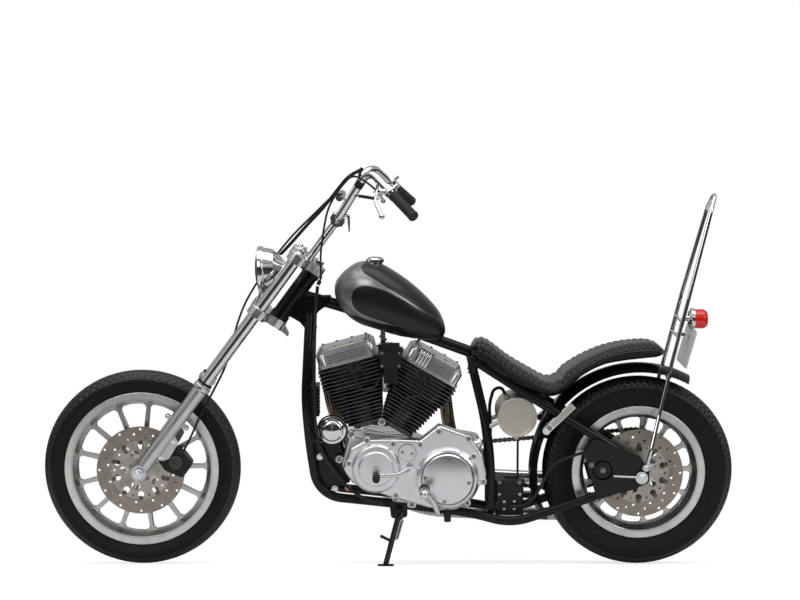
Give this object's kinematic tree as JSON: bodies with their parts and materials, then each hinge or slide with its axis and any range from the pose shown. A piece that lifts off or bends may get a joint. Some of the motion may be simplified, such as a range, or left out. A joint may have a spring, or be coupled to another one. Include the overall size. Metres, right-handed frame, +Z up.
{
  "type": "chopper motorcycle",
  "caption": "Long-fork chopper motorcycle with finned V-twin, teardrop tank, cobra seat and tall sissy bar, parked on its side stand.",
  "frame": {"origin": "on the ground at the centre of the box round the parked machine", "axes": "+X forward, +Y to the machine's left (the side it leans to), +Z up"},
  "size_m": [2.2937, 0.864, 1.3376],
  "materials": {
    "black_paint": "gloss black",
    "tank_paint": "gunmetal with satin black panels",
    "chrome": "polished",
    "silver": "satin to polished",
    "disc_steel": "brushed",
    "tyre": "matt",
    "grip_rubber": "matt",
    "seat_leather": "satin",
    "lamp_lens": "clear",
    "red_lens": "gloss",
    "plate_white": "satin"
  },
  "bodies": {
    "chassis": {"air_cleaner": "chrome", "axle_plates": "black_paint", "battery_box": "black_paint", "cam_cover": "silver", "chain": "disc_steel", "clutch_cover": "silver", "coil": "black_paint", "cradle_tubes": "black_paint", "crankcase": "silver", "engine_sprocket": "disc_steel", "exhaust_pipes": "chrome", "foot_controls": "chrome", "frame_brackets": "black_paint", "frame_spine": "black_paint", "front_cylinder": "black_paint", "front_rocker_box": "silver", "horn_cover": "chrome", "hoses_and_cables": "grip_rubber", "licence_plate": "plate_white", "oil_tank": "disc_steel", "passenger_pegs": "chrome", "primary_cover": "silver", "pushrod_tubes": "chrome", "rear_axle": "chrome", "rear_caliper": "black_paint", "rear_cylinder": "black_paint", "rear_fender": "black_paint", "rear_rocker_box": "silver", "regulator": "black_paint", "rider_pegs": "chrome", "seat": "seat_leather", "seat_posts": "black_paint", "sissy_bar": "chrome", "tail_bracket": "chrome", "tail_light": "red_lens", "tank": "tank_paint", "tank_fittings": "chrome", "upper_rails": "black_paint"},
    "fork": {"fork_sliders": "silver", "fork_tubes": "chrome", "front_axle": "chrome", "lower_clamp": "silver", "upper_clamp": "silver", "handlebar": "chrome", "bar_risers": "chrome", "grips": "grip_rubber", "hand_controls": "chrome", "headlight": "chrome", "headlight_lens": "lamp_lens", "front_caliper": "black_paint", "front_cables": "grip_rubber", "brake_master": "chrome"},
    "front_wheel": {"front_tyre": "tyre", "front_wheel": "silver", "front_disc": "disc_steel"},
    "rear_wheel": {"rear_tyre": "tyre", "rear_wheel": "silver", "rear_disc": "disc_steel", "rear_sprocket": "disc_steel"},
    "side_stand": {"side_stand": "black_paint"}
  },
  "joints": [
    {"name": "steering", "type": "hinge", "parent": "chassis", "child": "fork", "pos_m": [0.30833, -0.0084, 0.89075], "axis": [-0.5934, 0.1536, 0.7901], "range_deg": [-30, 30]},
    {"name": "front_wheel_spin", "type": "hinge", "parent": "fork", "child": "front_wheel", "pos_m": [0.82, -0.11895, 0.32198], "axis": [0, 0.9816, -0.1908], "continuous": true},
    {"name": "rear_wheel_spin", "type": "hinge", "parent": "chassis", "child": "rear_wheel", "pos_m": [-0.83, -0.12078, 0.31261], "axis": [0, 0.9816, -0.1908], "continuous": true},
    {"name": "side_stand_fold", "type": "hinge", "parent": "chassis", "child": "side_stand", "pos_m": [-0.035, -0.01457, 0.16721], "axis": [0.068, 0.8937, 0.4434], "range_deg": [0, 95]}
  ]
}
